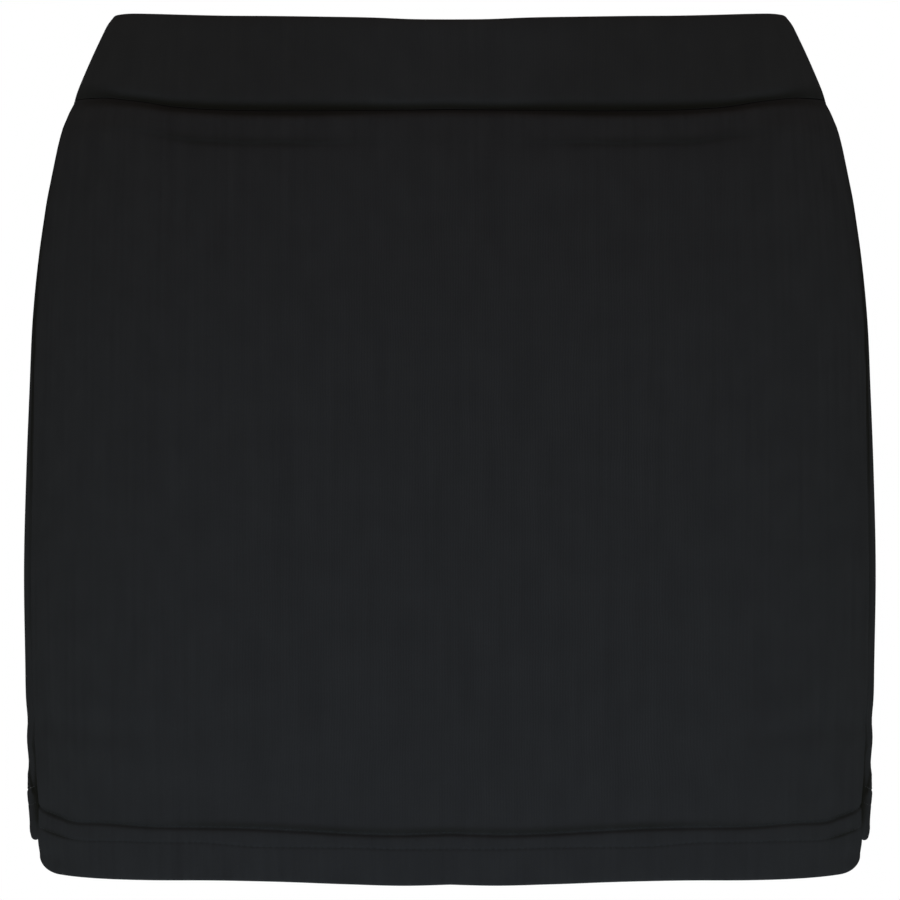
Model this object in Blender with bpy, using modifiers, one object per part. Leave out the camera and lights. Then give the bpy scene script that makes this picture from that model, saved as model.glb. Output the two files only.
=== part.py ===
"""Tennis skort, worn and hollow: a folded waistband, a close-fitting skirt with side vents, and inner shorts.

Six pieces of black jersey, sewn edge to edge. Metres, +Z up. The front faces -Y, and the origin is the
middle of the hollow inside the waistband, half way up the band at the side.
"""
from collections import namedtuple
import math

import bpy
import numpy as np

# Heights at the side of the body, above (+) or below (-) the middle of the waistband.
BAND_TOP = 0.0200
WAIST_SEAM = -0.0203
VENT_TOP = -0.3105
FRONT_HEM = -0.3677
BACK_HEM = -0.3570
CROTCH = -0.2225
SHORTS_HEM = -0.3395

# How far the sewn edges dip at the centre front and rise at the centre back.
BAND_TOP_DIP = 0.0076
BAND_TOP_RISE = 0.0015
SEAM_DIP = 0.0075
SEAM_RISE = 0.0012
HEM_SIDE_DROP = 0.0017          # the front hem hangs a little lower beside the vents

# Cloth. The band is folded double round its seam allowances, and the skirt's hem is turned up once.
BAND_WALL = 0.0030
SKIRT_WALL = 0.0012
HEM_WALL = 0.0022
SHORTS_WALL = 0.0012
SEAM_GAP = 0.0003
ROLL_DEPTH = 0.0015             # how far the cloth rolls in at the waist seam
FOLD_DEPTH = 0.0022             # and over the band's folded top edge
ROLL_LENGTH = 0.0045
ALLOWANCE_HEIGHT = 0.0140       # the seam allowance turned down inside the skirt's top
ALLOWANCE_RELIEF = 0.0004
HEM_CREASE = 0.0223             # height of the hem's upper stitching
HEM_CREASE_DEPTH = 0.0004
VENT_SPREAD = 0.0015            # half the vent's widest opening
VENT_CORNER_RISE = 0.0080       # the round corner at the foot of each vent edge
VENT_CORNER_LENGTH = 0.0170
VENT_FLARE = 0.0006             # how far the front panel stands proud of the back one beside the vent

# Inner shorts.
SHORTS_INSET = 0.0050           # from the skirt's outer face in to the shorts' outer face
RISE_CURVE_TOP = -0.1650        # where the centre seams start to turn under to the crotch
CROTCH_BACK = 0.0080            # the crotch point lies a little behind the side seams
LEG_HEM_GAP = 0.0220            # between the two legs at their hems
LEG_TAPER_FRONT = 0.06          # share of its depth that a leg loses by its hem
LEG_TAPER_BACK = 0.16

# How round a level section is: 2 is an ellipse, and more is squarer.
BODY_ROUNDNESS = 2.4
LEG_ROUNDNESS = 2.0

# Level sections of the worn garment, from the waistband down to the hem. The depths run from the widest
# line at the side to the centre front and back, and the side seam lies forward of that line.
Section = namedtuple("Section", "height half_width front_depth back_depth seam_forward")
SECTIONS = [
    Section(+0.022, 0.1531, 0.0960, 0.0970, 0.0030),
    Section(+0.000, 0.1636, 0.1005, 0.1015, 0.0035),
    Section(-0.021, 0.1724, 0.1050, 0.1070, 0.0040),
    Section(-0.042, 0.1797, 0.1090, 0.1130, 0.0060),
    Section(-0.080, 0.1867, 0.1130, 0.1200, 0.0115),
    Section(-0.118, 0.1910, 0.1155, 0.1240, 0.0220),
    Section(-0.154, 0.1928, 0.1160, 0.1250, 0.0330),
    Section(-0.190, 0.1942, 0.1160, 0.1240, 0.0360),
    Section(-0.236, 0.1952, 0.1155, 0.1215, 0.0360),
    Section(-0.272, 0.1947, 0.1150, 0.1200, 0.0355),
    Section(-0.310, 0.1939, 0.1145, 0.1190, 0.0360),
    Section(-0.340, 0.1932, 0.1140, 0.1180, 0.0410),
    Section(-0.368, 0.1925, 0.1140, 0.1180, 0.0400),
]

# Mesh density. Rows near an edge are set by their distance from it.
COLUMNS = 28
EDGE_COLUMNS = (0.0010, 0.0035, 0.0080)
PANEL_LENGTH = 0.520            # round a skirt panel, for placing those columns
BAND_EDGE_ROWS = (0.0, 0.0010, 0.0025, 0.0045)
BAND_ROWS = 2
SEAM_ROWS = (0.0, 0.0010, 0.0025, 0.0045, 0.0125, 0.0155)
SKIRT_ROWS = 9
VENT_ROWS = 2
HEM_ROWS = (0.0245, 0.0223, 0.0200, 0.0120, 0.0)
RISE_ROWS = 6
CROTCH_ROWS = 5
LEG_ROWS = 5
ARC_STEPS = 121

BLACK_BAND = (0.0110, 0.0110, 0.0115)
BLACK_SKIRT = (0.0135, 0.0140, 0.0150)
BLACK_SHORTS = (0.0120, 0.0122, 0.0130)

SECTION_TABLE = np.array(SECTIONS)[::-1]
SECTION_SLOPES = np.gradient(SECTION_TABLE, SECTION_TABLE[:, 0], axis=0)


def section_at(height):
    """The section at any height, on a smooth curve through the ones in the table."""
    upper = int(np.clip(np.searchsorted(SECTION_TABLE[:, 0], height), 1, len(SECTION_TABLE) - 1))
    low = SECTION_TABLE[upper - 1]
    high = SECTION_TABLE[upper]
    step = high[0] - low[0]
    part = (height - low[0]) / step
    points = low * (1 + 2 * part) * (1 - part) ** 2 + high * part ** 2 * (3 - 2 * part)
    slopes = SECTION_SLOPES[upper - 1] * part * (1 - part) ** 2
    slopes = slopes + SECTION_SLOPES[upper] * part ** 2 * (part - 1)
    return Section(*(points + step * slopes))


def smooth_step(low, high, value):
    """0 up to low, 1 from high on, and a soft rise between them."""
    part = min(1.0, max(0.0, (value - low) / (high - low)))
    return part * part * (3 - 2 * part)


def rounded(angles, radius_x, radius_y, roundness, inset):
    """Points of a rounded outline at the angles, set in from it. radius_y may change with the angle."""
    cosines = np.cos(angles)
    sines = np.sin(angles)
    across = np.sign(cosines) * np.abs(cosines) ** (2 / roundness)
    along = np.sign(sines) * np.abs(sines) ** (2 / roundness)
    normal_x = np.sign(across) * np.abs(across) ** (roundness - 1) / radius_x
    normal_y = np.sign(along) * np.abs(along) ** (roundness - 1) / radius_y
    length = np.hypot(normal_x, normal_y)
    x = across * radius_x - inset * normal_x / length
    y = along * radius_y - inset * normal_y / length
    return np.column_stack((x, y))


def spaced(path, fractions):
    """Points at the given fractions of a path's length."""
    run = np.concatenate(([0.0], np.cumsum(np.hypot(*np.diff(path, axis=0).T))))
    places = np.asarray(fractions) * run[-1]
    return np.column_stack((np.interp(places, run, path[:, 0]), np.interp(places, run, path[:, 1])))


def outline(side, height, inset):
    """The front or back of a level section, from seam to seam and from left to right for who faces it."""
    section = section_at(height)
    lean = math.asin((section.seam_forward / section.front_depth) ** (BODY_ROUNDNESS / 2))
    if side == "front":
        angles = np.linspace(math.pi + lean, 2 * math.pi - lean, ARC_STEPS)
    else:
        angles = np.linspace(-lean, math.pi + lean, ARC_STEPS)
    depths = np.where(np.sin(angles) < 0, section.front_depth, section.back_depth)
    return rounded(angles, section.half_width, depths, BODY_ROUNDNESS, inset)


def edge_clearance(height, hem):
    """From the side seam's line to a panel's edge: half the seam's gap, and more beside the vent."""
    down = max(0.0, (VENT_TOP - height) / (VENT_TOP - hem))
    return SEAM_GAP / 2 + VENT_SPREAD * math.sin(0.85 * math.pi * min(1.0, down) ** 0.7)


def panel_point(side, fraction, height, inset, clearance=SEAM_GAP / 2):
    """A point of a panel's outer face, at a fraction of the way from its first side seam to its second."""
    path = outline(side, height, inset)
    length = np.hypot(*np.diff(path, axis=0).T).sum()
    trim = clearance / length
    x, y = spaced(path, [trim + fraction * (1 - 2 * trim)])[0]
    return (x, y, height)


def depth_share(side, fraction):
    """0 at the widest line of the side, and 1 at the centre front or centre back."""
    section = section_at(WAIST_SEAM)
    y = panel_point(side, fraction, WAIST_SEAM, 0.0)[1]
    if side == "front":
        return max(0.0, -y / section.front_depth)
    return max(0.0, y / section.back_depth)


def seam_height(side, fraction):
    """Height of the waist seam."""
    share = depth_share(side, fraction)
    if side == "front":
        return WAIST_SEAM - SEAM_DIP * smooth_step(0.45, 0.95, share)
    return WAIST_SEAM + SEAM_RISE * smooth_step(0.0, 1.0, share)


def band_top_height(side, fraction):
    """Height of the waistband's folded top edge."""
    share = depth_share(side, fraction)
    if side == "front":
        return BAND_TOP - BAND_TOP_DIP * share ** 1.7
    return BAND_TOP + BAND_TOP_RISE * smooth_step(0.0, 1.0, share)


def hem_height(side, fraction):
    """Height of the skirt's hem, with a small round corner at each vent."""
    from_edge = min(fraction, 1 - fraction)
    hem = BACK_HEM
    if side == "front":
        hem = FRONT_HEM - HEM_SIDE_DROP * smooth_step(0.28, 0.0, from_edge)
    round_part = max(0.0, 1 - from_edge * PANEL_LENGTH / VENT_CORNER_LENGTH)
    return hem + VENT_CORNER_RISE * (1 - math.sqrt(1 - round_part ** 2))


def roll(distance, depth=ROLL_DEPTH):
    """How far the cloth rolls in, at a distance from the edge that it rolls over."""
    return depth * max(0.0, 1 - distance / ROLL_LENGTH) ** 2


def even_fractions(columns):
    """Fractions of equal columns."""
    return [column / columns for column in range(columns + 1)]


def panel_fractions():
    """Equal columns, with a few more beside the side seams for the vents' round corners."""
    edges = [step / PANEL_LENGTH for step in EDGE_COLUMNS]
    return sorted(even_fractions(COLUMNS) + edges + [1 - edge for edge in edges])


def between(start, end, count):
    """Evenly spaced values strictly between two others."""
    return [start + (end - start) * (step + 1) / (count + 1) for step in range(count)]


def band_column(side, fraction):
    """One column of a waistband panel, from its folded top edge down to the waist seam."""
    top = band_top_height(side, fraction)
    bottom = seam_height(side, fraction) + SEAM_GAP / 2
    upper = [(top - step, roll(step, FOLD_DEPTH)) for step in BAND_EDGE_ROWS]
    lower = [(bottom + step, roll(step)) for step in reversed(BAND_EDGE_ROWS)]
    middle = [(height, 0.0) for height in between(upper[-1][0], lower[0][0], BAND_ROWS)]
    return [panel_point(side, fraction, height, inset) for height, inset in upper + middle + lower]


def skirt_column(side, fraction):
    """One column of a skirt panel, from the waist seam down over the seam allowance to the hem."""
    top = seam_height(side, fraction) - SEAM_GAP / 2
    hem = hem_height(side, fraction)
    flare = VENT_FLARE if side == "front" else -VENT_FLARE
    beside_vent = smooth_step(0.04, 0.0, min(fraction, 1 - fraction))
    rows = []
    for step in SEAM_ROWS:
        allowance = ALLOWANCE_RELIEF * smooth_step(0.001, 0.006, step) * (step < ALLOWANCE_HEIGHT)
        rows.append((top - step, roll(step) - allowance))
    rows += [(height, 0.0) for height in between(rows[-1][0], VENT_TOP, SKIRT_ROWS) + [VENT_TOP]]
    rows += [(height, 0.0) for height in between(VENT_TOP, hem + HEM_ROWS[0], VENT_ROWS)]
    rows += [(hem + step, HEM_CREASE_DEPTH if step == HEM_CREASE else 0.0) for step in HEM_ROWS]
    column = []
    for height, inset in rows:
        proud = flare * beside_vent * smooth_step(VENT_TOP, VENT_TOP - 0.02, height)
        column.append(panel_point(side, fraction, height, inset - proud, edge_clearance(height, hem)))
    return column


def leg_ring(height, fractions):
    """Points round one leg of the shorts, from the inseam by the front, the side and the back.

    The outer half is the body's outline, and the inner half turns in from it to the inseam."""
    down = (CROTCH - height) / (CROTCH - SHORTS_HEM)
    inner = SEAM_GAP / 2 + LEG_HEM_GAP / 2 * down
    front = outline("front", height, SHORTS_INSET)[ARC_STEPS // 2:]
    back = outline("back", height, SHORTS_INSET)[:ARC_STEPS // 2 + 1]
    middle = section_at(height).half_width / 2
    turns = np.linspace(0.0, math.pi / 2, ARC_STEPS // 2)
    toward_inseam = np.cos(turns) ** (2 / LEG_ROUNDNESS)
    narrowing = np.sin(turns) ** (2 / LEG_ROUNDNESS)
    body_x = middle * (1 - toward_inseam)
    x = body_x + inner * toward_inseam
    front_y = CROTCH_BACK + (np.interp(body_x, front[:, 0], front[:, 1]) - CROTCH_BACK) * narrowing
    back_y = CROTCH_BACK + (np.interp(body_x, back[::-1, 0], back[::-1, 1]) - CROTCH_BACK) * narrowing
    side = np.vstack((front, back))
    side = side[side[:, 0] > middle]
    ring = np.vstack((np.column_stack((x, front_y)), side, np.column_stack((x, back_y))[::-1]))
    taper = np.where(ring[:, 1] < CROTCH_BACK, LEG_TAPER_FRONT, LEG_TAPER_BACK) * down
    ring[:, 1] = CROTCH_BACK + (ring[:, 1] - CROTCH_BACK) * (1 - taper)
    return spaced(ring, fractions)


def shorts_rows():
    """Rows of the wearer's left half of the shorts, and the number of the first that closes into a leg.

    A row round the hips runs from the centre front by the side to the centre back. Below the rise it
    bends towards the leg's ring, and its two ends meet at the crotch."""
    half = COLUMNS // 2
    share = even_fractions(COLUMNS)
    places = [("front", fraction) for fraction in share[half:]]
    places += [("back", fraction) for fraction in share[1:half + 1]]
    top_inset = ROLL_DEPTH + SKIRT_WALL + SEAM_GAP
    waist = WAIST_SEAM - SEAM_GAP / 2
    level_rows = [waist, waist - 0.006, waist - 0.018] + between(waist - 0.018, RISE_CURVE_TOP, RISE_ROWS)
    rise_rows = [RISE_CURVE_TOP] + between(RISE_CURVE_TOP, CROTCH, CROTCH_ROWS)
    leg_rows = [CROTCH] + between(CROTCH, SHORTS_HEM, LEG_ROWS) + [SHORTS_HEM]
    rows = []
    for level in level_rows + rise_rows + leg_rows:
        dip_left = smooth_step(RISE_CURVE_TOP, waist, level)
        inset = top_inset + (SHORTS_INSET - top_inset) * smooth_step(waist, waist - 0.018, level)
        body = []
        for side, fraction in places:
            height = level + dip_left * (seam_height(side, fraction) - WAIST_SEAM)
            body.append(panel_point(side, fraction, height, inset))
        turned = min(1.0, max(0.0, (RISE_CURVE_TOP - level) / (RISE_CURVE_TOP - CROTCH)))
        leg_share = 1 - (1 - turned ** 2) ** 0.5
        body = np.array(body)
        run = np.concatenate(([0.0], np.cumsum(np.linalg.norm(np.diff(body, axis=0), axis=1))))
        ring = leg_ring(min(level, CROTCH), run / run[-1])
        row = body.copy()
        row[:, :2] = body[:, :2] * (1 - leg_share) + ring * leg_share
        row[:, 0] = np.maximum(row[:, 0], SEAM_GAP / 2)     # half the centre seam's gap
        rows.append(row)
    return rows, len(level_rows + rise_rows)


def jersey(name, colour, roughness):
    """Black knit: a plain cloth surface of the given colour."""
    material = bpy.data.materials.new(name)
    material.use_nodes = True
    shader = material.node_tree.nodes["Principled BSDF"]
    shader.inputs["Base Color"].default_value = (*colour, 1.0)
    shader.inputs["Roughness"].default_value = roughness
    shader.inputs["Metallic"].default_value = 0.0
    return material


def sewn_piece(name, columns, material, wall, closed_from=None):
    """A named piece: an open loft through columns of points, given its cloth's thickness inwards.

    From the row closed_from down, the first and last columns are one, as a leg's inseam is."""
    count = len(columns)
    rows = len(columns[0])
    points = []
    numbers = {}
    for column in range(count):
        for row in range(rows):
            welded = closed_from is not None and column == count - 1 and row >= closed_from
            if welded:
                numbers[column, row] = numbers[0, row]
                continue
            numbers[column, row] = len(points)
            points.append(tuple(columns[column][row]))
    faces = []
    for column in range(count - 1):
        for row in range(rows - 1):
            corners = ((column, row), (column, row + 1), (column + 1, row + 1), (column + 1, row))
            faces.append([numbers[corner] for corner in corners])
    mesh = bpy.data.meshes.new(name)
    mesh.from_pydata(points, [], faces)
    mesh.materials.append(material)
    mesh.shade_smooth()
    piece = bpy.data.objects.new(name, mesh)
    shell = piece.modifiers.new("cloth", "SOLIDIFY")
    shell.thickness = wall
    shell.offset = -1.0
    shell.use_even_offset = True
    shell.use_quality_normals = True
    return piece


def thicken_hem(piece, rows):
    """Double the cloth from the hem's upper stitching down, on a skirt panel with this many rows a column."""
    hem_rows = [row for row in range(rows) if row >= rows - len(HEM_ROWS) + 1]
    hem = piece.vertex_groups.new(name="turned_up_hem")
    hem.add([index for index in range(len(piece.data.vertices)) if index % rows in hem_rows], 1.0, "REPLACE")
    shell = piece.modifiers["cloth"]
    shell.thickness = HEM_WALL
    shell.vertex_group = hem.name
    shell.thickness_vertex_group = SKIRT_WALL / HEM_WALL


def make_waistband(side, material):
    """The front or back of the waistband."""
    columns = [band_column(side, fraction) for fraction in panel_fractions()]
    return sewn_piece("waistband_" + side, columns, material, BAND_WALL)


def make_skirt(side, material):
    """The front or back panel of the skirt."""
    columns = [skirt_column(side, fraction) for fraction in panel_fractions()]
    piece = sewn_piece("skirt_" + side, columns, material, SKIRT_WALL)
    thicken_hem(piece, len(columns[0]))
    return piece


def make_shorts(side, material):
    """One leg of the inner shorts, with its half of the hips."""
    rows, closed_from = shorts_rows()
    columns = np.array(rows).transpose(1, 0, 2)
    if side == "right":
        columns = columns[::-1] * np.array((-1.0, 1.0, 1.0))
    return sewn_piece("shorts_" + side, columns, material, SHORTS_WALL, closed_from)


for old in list(bpy.data.objects):
    bpy.data.objects.remove(old, do_unlink=True)

skort = bpy.data.collections.new("tennis_skort")
bpy.context.scene.collection.children.link(skort)
band_jersey = jersey("waistband_jersey", BLACK_BAND, 0.82)
skirt_jersey = jersey("skirt_jersey", BLACK_SKIRT, 0.85)
shorts_jersey = jersey("shorts_jersey", BLACK_SHORTS, 0.85)
pieces = [make_waistband(side, band_jersey) for side in ("front", "back")]
pieces += [make_skirt(side, skirt_jersey) for side in ("front", "back")]
pieces += [make_shorts(side, shorts_jersey) for side in ("left", "right")]
for piece in pieces:
    skort.objects.link(piece)
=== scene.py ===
"""Black tennis skort, worn and hollow: waistband, skirt, inner shorts, seams, stitching and the studio.

Metres, +Z up. The front faces -Y, and the origin is the middle of the waistband's hollow.
"""
import math

import bpy
import numpy as np
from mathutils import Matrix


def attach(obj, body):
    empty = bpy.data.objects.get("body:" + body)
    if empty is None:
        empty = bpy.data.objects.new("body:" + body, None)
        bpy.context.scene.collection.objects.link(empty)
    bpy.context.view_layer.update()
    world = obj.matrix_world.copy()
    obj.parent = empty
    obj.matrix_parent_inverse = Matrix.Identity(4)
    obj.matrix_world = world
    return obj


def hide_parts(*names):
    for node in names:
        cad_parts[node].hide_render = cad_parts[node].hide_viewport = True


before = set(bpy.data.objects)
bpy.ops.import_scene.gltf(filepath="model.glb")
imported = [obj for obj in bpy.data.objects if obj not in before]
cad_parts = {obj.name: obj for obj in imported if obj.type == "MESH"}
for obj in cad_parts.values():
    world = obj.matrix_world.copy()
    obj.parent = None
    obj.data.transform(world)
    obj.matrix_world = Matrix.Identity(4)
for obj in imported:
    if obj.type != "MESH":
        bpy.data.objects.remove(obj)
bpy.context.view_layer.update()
bpy.ops.object.select_all(action="DESELECT")


# ---- Waistband ----
# Two pieces of jersey, front and back, folded double along the top edge over a wide elastic. The folded
# edge dips at the front. The lower edges are sewn to the skirt and the shorts and roll into that seam.

MM = 0.001
BAND_TOP = 0.0202
BAND_TOP_RISE = 0.0015  # of the folded edge at the centre back
BAND_SIDE_DIP = 0.0013  # and how far it sinks at the side seams
# The folded edge at the front: how far toward the side seam, and how far below the band's top it lies.
BAND_FRONT_DIP = np.array([
    (0, 7.85), (0.08, 7.7), (0.16, 7), (0.28, 6.4), (0.4, 5.8), (0.5, 5.3), (0.6, 4.4), (0.7, 3.3),
    (0.8, 2.3), (0.88, 1.9), (1, BAND_SIDE_DIP / MM)]) * (1, MM)
WAIST_SEAM = -0.0203
SEAM_RISE = 0.0012  # of the waist seam at the centre back
# The waist seam at the front: how far toward the side seam, and its height.
FRONT_SEAM = np.array([
    (0, -27.5), (0.1, -27.8), (0.2, -28), (0.29, -28), (0.39, -27.7), (0.5, -26.7), (0.56, -25.6),
    (0.64, -23), (0.7, -21.6), (0.75, -20.6), (0.82, -20.3), (1, WAIST_SEAM / MM)]) * (1, MM)
# The painted shade in the groove round the waist seam: how far toward the side seam, how strong,
# and how deep its dark middle and its whole width are above the seam and below it.
FURROW_SHADE = np.array([
    (0, 1, 0.8, 4.6, 0.7, 2), (0.1, 1, 0.7, 4.4, 0.7, 2), (0.2, 1, 0.8, 5.6, 0.7, 2.8),
    (0.3, 1, 0.8, 5.6, 0.7, 3.6), (0.4, 1, 0.7, 5.4, 0.7, 3.6), (0.5, 1, 0.4, 5.4, 0.5, 3),
    (0.56, 1, 0.3, 4.8, 0.4, 3), (0.65, 0.9, 0, 3.7, 0.2, 3.8), (0.71, 0.8, 0, 4.2, 0, 4.6),
    (0.77, 0.66, 0, 6.5, 0, 5.6), (0.82, 0.5, 0, 8.5, 0, 7), (0.9, 0.38, 0, 8.5, 0, 7),
    (1, 0.15, 0, 8.5, 0, 7)]) * (1, 1, MM, MM, MM, MM)
# Less painted shade right at the seam, which is a real groove this wide and dark by itself.
FURROW_FLOOR = 0.0011  # the seam itself is a real groove this wide, and needs less shade
SEAM_GAP = 0.0003
WAIST_GAP = 0.0001  # the stretched cloth all but closes the waist seam
BAND_CLOTH = 0.0009
BAND_FOLD_RADIUS = 0.0012  # of the folded top edge
BAND_TOP_ROLL = 0.0003  # how far the outer layer leans in below the fold,
BAND_TOP_ROLL_SIDE = 0.001  # and how far at the side seams
SEAM_ROLL_LENGTH = 0.0056  # the cloth rolls in over this much on both sides of the waist seam,
SEAM_ROLL_SIDE = 0.0004  # this deep at the sides,
SEAM_ROLL_MIDDLE = 0.0017  # and this deep across the front and the back
TOP_ROLL_LENGTH = 0.0045
BAND_INNER_INSET = 0.0029  # from the band's outer face to the face against the wearer
SIDE_SEAM_RADIUS = 0.0009  # the cloth turns in beside a side seam or a vent

# The worn outline, level by level from the hem up: height, half width, depth from the widest line to the
# centre front and to the centre back, and how far forward of that line the side seam lies.
OUTLINE = np.array([
    (-368, 192.5, 114, 118, 40), (-340, 193.2, 114, 118, 41), (-310, 193.9, 114.5, 119, 36),
    (-272, 194.7, 115, 120, 35.5), (-236, 195.2, 115.5, 121.5, 36), (-190, 194.2, 116, 124, 36),
    (-154, 192.8, 116, 125, 33), (-118, 191, 115.5, 124, 22), (-80, 186.7, 113, 120, 11.5),
    (-42, 179.7, 109, 113, 6), (-21, 172.4, 105, 107, 4), (0, 163.6, 100.5, 101.5, 3.5),
    (22, 153.1, 96, 97, 3)]) * MM
ROUNDNESS = 2.4  # 2 is an ellipse, and more is squarer
LEVELS = np.linspace(-0.374, 0.026, 161)
SHARES = np.linspace(0.0, 1.0, 401)
TURN_STEPS = 1441
WAVE_COUNT = 7


def blend(first, second, share):
    """Between two values, or arrays of them: the first at share 0, and the second at 1."""
    return first + (second - first) * share


def smooth(table, places):
    """A table's rows at places in its first column, on a smooth curve through them."""
    upper = np.clip(np.searchsorted(table[:, 0], places), 1, len(table) - 1)
    slopes = np.gradient(table, table[:, 0], axis=0)
    low, high = table[upper - 1], table[upper]
    step = high[..., :1] - low[..., :1]
    part = (np.asarray(places)[..., None] - low[..., :1]) / step
    bend = step * part * (1 - part) * (slopes[upper - 1] * (1 - part) - slopes[upper] * part)
    return blend(low, high, part ** 2 * (3 - 2 * part)) + bend


def along_curve(table, places):
    """Values at the places, on a smooth curve through a table of place and value, level past its ends."""
    return smooth(table, np.clip(places, table[0, 0], table[-1, 0]))[..., 1]


def columns_at(table, places):
    """A table's further columns at places in its first column, in straight steps."""
    return [np.interp(places, table[:, 0], column) for column in table.T[1:]]


def run_along(points, axis=0):
    """How far it is from the first point to each one, along an axis of a grid of points."""
    steps = np.diff(points, axis=axis, prepend=points.take([0], axis=axis))
    return np.cumsum(np.linalg.norm(steps, axis=-1), axis=axis)


def points_at(places, run, line):
    """Points at places along the run of a line of points."""
    return np.column_stack([np.interp(places, run, values) for values in line.T])


def bell(distance, width):
    """1 at no distance, and nothing from about two widths on."""
    return np.exp(-(distance / width) ** 2)


def rounded(turn, radius_x, radius_y, inset):
    """x and y on a rounded outline at the angles, set in from it."""
    across = np.sign(np.cos(turn)) * np.abs(np.cos(turn)) ** (2 / ROUNDNESS)
    along = np.sign(np.sin(turn)) * np.abs(np.sin(turn)) ** (2 / ROUNDNESS)
    normal_x = np.sign(across) * np.abs(across) ** (ROUNDNESS - 1) / radius_x
    normal_y = np.sign(along) * np.abs(along) ** (ROUNDNESS - 1) / radius_y
    length = np.hypot(normal_x, normal_y)
    return across * radius_x - inset * normal_x / length, along * radius_y - inset * normal_y / length


def seam_to_seam(side):
    """Angles round the body at each level and share of a panel's width, and the widths."""
    angles, widths = [], []
    for _, half_width, front, back, forward in smooth(OUTLINE, LEVELS):
        lean = math.asin((forward / front) ** (ROUNDNESS / 2))
        ends = (math.pi + lean, 2 * math.pi - lean) if side == "front" else (-lean, math.pi + lean)
        turn = np.linspace(*ends, TURN_STEPS)
        x, y = rounded(turn, half_width, np.where(np.sin(turn) < 0, front, back), 0.0)
        run = run_along(np.column_stack((x, y)))
        angles.append(np.interp(SHARES * run[-1], run, turn))
        widths.append(run[-1])
    return np.array(angles), np.array(widths)


PANELS = {side: seam_to_seam(side) for side in ("front", "back")}


def on_body(side, share, height, inset):
    """Points at a share of the way from a panel's first side seam to its second, this far in."""
    share, height, inset = np.broadcast_arrays(share, height, inset)
    angles = PANELS[side][0]
    level = (height - LEVELS[0]) / (LEVELS[1] - LEVELS[0])
    place = share * (len(SHARES) - 1)
    row = np.clip(level.astype(int), 0, len(LEVELS) - 2)
    column = np.clip(place.astype(int), 0, len(SHARES) - 2)
    up, along = level - row, place - column
    lower, upper = (blend(angles[line, column], angles[line, column + 1], along) for line in (row, row + 1))
    turn = blend(lower, upper, up)
    half_width, front, back = np.moveaxis(smooth(OUTLINE, height), -1, 0)[1:4]
    x, y = rounded(turn, half_width, np.where(np.sin(turn) < 0, front, back), inset)
    return np.stack((x, y, height), axis=-1)


def panel_width(side, height):
    """A panel's width from side seam to side seam at a height."""
    return np.interp(height, LEVELS, PANELS[side][1])


def ramp(low, high, value):
    """0 up to low, 1 from high on, and a soft rise between. It falls where low is the larger."""
    part = np.clip((value - low) / (high - low), 0.0, 1.0)
    return part * part * (3 - 2 * part)


def depth_share(side, share):
    """0 at the widest line of the side, and 1 at the centre front or centre back."""
    front, back = smooth(OUTLINE, WAIST_SEAM)[2:4]
    y = on_body(side, share, WAIST_SEAM, 0.0)[..., 1]
    return np.maximum(0.0, -y / front if side == "front" else y / back)


def toward_seam(share):
    """0 at the centre front or back, and 1 at the side seams."""
    return np.abs(share - 0.5) * 2


def seam_height(side, share):
    """Height of the waist seam."""
    if side == "front":
        return along_curve(FRONT_SEAM, toward_seam(share))
    return WAIST_SEAM + SEAM_RISE * ramp(0.0, 1.0, depth_share(side, share))


def band_top_height(side, share):
    """Height of the waistband's folded top edge."""
    if side == "front":
        return BAND_TOP - along_curve(BAND_FRONT_DIP, toward_seam(share))
    inward = depth_share(side, share)
    return BAND_TOP - BAND_SIDE_DIP * ramp(0.4, 0.0, inward) + BAND_TOP_RISE * ramp(0.0, 1.0, inward)


def panel_grid(side, shares, height, inset, clearance):
    """A panel's points between its two side seams, this clear of them, and how far across it each one is."""
    width = panel_width(side, height)
    place = shares + (1 - 2 * shares) * clearance / width
    return on_body(side, place, height, inset), (shares - 0.5) * width


def roll(distance, depth, length):
    """How far the cloth rolls in, at a distance from the edge it rolls over."""
    return depth * np.clip(1 - distance / length, 0.0, 1.0) ** 1.8


def seam_roll(side, share, distance, share_of_depth=1.0):
    """How far the cloth rolls in beside the waist seam."""
    deep = ramp(0.15, 0.6, depth_share(side, share))
    return roll(distance, blend(SEAM_ROLL_SIDE, SEAM_ROLL_MIDDLE, deep) * share_of_depth, SEAM_ROLL_LENGTH)


def furrow_shade(share, above):
    """How much painted shade the cloth gets beside the waist seam, 0 to 1, at a height above it, or below if
    negative.
    """
    strength, *rims = columns_at(FURROW_SHADE, toward_seam(share))
    core = np.where(above > 0, rims[0], rims[2])
    reach = np.where(above > 0, rims[1], rims[3])
    floor = 1 - np.where(above > 0, 0.1, 0.7) * bell(above, FURROW_FLOOR)
    return strength * ramp(reach, core, np.abs(above)) * floor


def turned_in(distance):
    """How far the cloth is turned in, at a distance from a side seam or a vent's edge."""
    left = np.clip(SIDE_SEAM_RADIUS - distance, 0.0, SIDE_SEAM_RADIUS)
    return SIDE_SEAM_RADIUS - np.sqrt(SIDE_SEAM_RADIUS ** 2 - left ** 2)


def waves(u, v, seed, length_u, length_v):
    """Soft unevenness from -1 to 1 over a cloth's surface, with waves about that long across and down."""
    draw = np.random.default_rng(seed)
    total = np.zeros(np.broadcast(u, v).shape)
    for _ in range(WAVE_COUNT):
        across = draw.uniform(0.6, 1.5) / length_u * draw.choice((-1, 1))
        down = draw.uniform(0.3, 1.2) / length_v
        total += np.sin(2 * math.pi * (u * across + v * down) + draw.uniform(0, 2 * math.pi))
    return total / WAVE_COUNT ** 0.5 / 1.6


def column_shares(width, spacing, edge_steps):
    """Shares for a panel's columns: even ones, and more at given distances from both edges."""
    even = np.linspace(0.0, 1.0, round(width / spacing) + 1)
    near = np.array(edge_steps) / width
    edge = near.max() + 0.4 * spacing / width
    return np.concatenate((near, even[(even > edge) & (even < 1 - edge)], 1 - near[::-1]))


def new_object(name, data):
    """An object in the scene."""
    made = bpy.data.objects.new(name, data)
    bpy.context.scene.collection.objects.link(made)
    return made


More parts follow.
